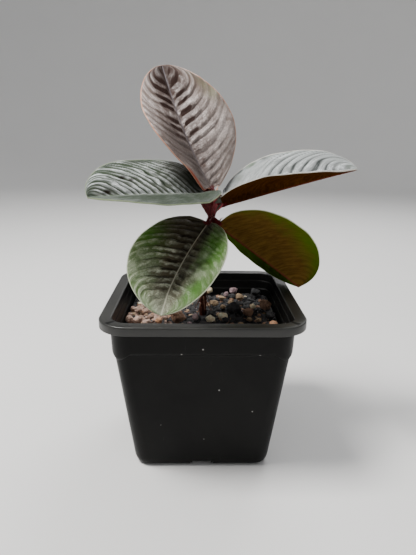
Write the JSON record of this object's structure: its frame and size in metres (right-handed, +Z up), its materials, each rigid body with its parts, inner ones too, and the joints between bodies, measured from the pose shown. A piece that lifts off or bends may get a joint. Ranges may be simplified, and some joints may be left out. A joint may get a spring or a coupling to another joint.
{
  "type": "potted labisia plant",
  "caption": "Square plastic nursery pot filled with grit, holding a short stem with broad corrugated leaves spreading around it and a small new leaf at the top.",
  "frame": {"origin": "centre of the pot's flat underside, on the surface it stands on", "axes": "+Z up along the pot and stem, -Y towards the front, where the lowest leaf hangs over the rim, +X towards the long right-hand leaf"},
  "size_m": [0.1333, 0.1, 0.2039],
  "materials": {
    "pot": "semi-matte black",
    "soil": "rough grit",
    "stem": "dark red, slightly hairy",
    "leaf_upper": "satin",
    "leaf_left": "satin",
    "leaf_right": "satin",
    "leaf_front": "satin",
    "leaf_lower_right": "satin",
    "young_leaf": "satin",
    "grain_pink": "rough",
    "grain_orange": "rough",
    "grain_brown": "rough",
    "grain_mauve": "rough",
    "grain_cream": "rough",
    "grain_tan": "rough",
    "grain_dark": "rough"
  },
  "bodies": {
    "root": {"pot": "pot", "soil": "soil", "stem": "stem", "leaf_upper": "leaf_upper", "leaf_left": "leaf_left", "leaf_right": "leaf_right", "leaf_front": "leaf_front", "leaf_lower_right": "leaf_lower_right", "young_leaf": "young_leaf", "grain_01": "grain_pink", "grain_02": "grain_pink", "grain_03": "grain_pink", "grain_04": "grain_pink", "grain_05": "grain_pink", "grain_06": "grain_pink", "grain_07": "grain_pink", "grain_08": "grain_pink", "grain_09": "grain_pink", "grain_10": "grain_orange", "grain_11": "grain_pink", "grain_12": "grain_brown", "grain_13": "grain_mauve", "grain_14": "grain_cream", "grain_15": "grain_cream", "grain_16": "grain_dark", "grain_17": "grain_cream", "grain_18": "grain_tan", "grain_19": "grain_dark", "grain_20": "grain_tan", "grain_21": "grain_tan", "grain_22": "grain_mauve", "grain_23": "grain_tan", "grain_24": "grain_mauve", "grain_25": "grain_tan", "grain_26": "grain_dark", "grain_27": "grain_tan", "grain_28": "grain_brown", "grain_29": "grain_cream", "grain_30": "grain_brown", "grain_31": "grain_tan", "grain_32": "grain_tan", "grain_33": "grain_dark", "grain_34": "grain_orange", "grain_35": "grain_dark"}
  },
  "joints": []
}
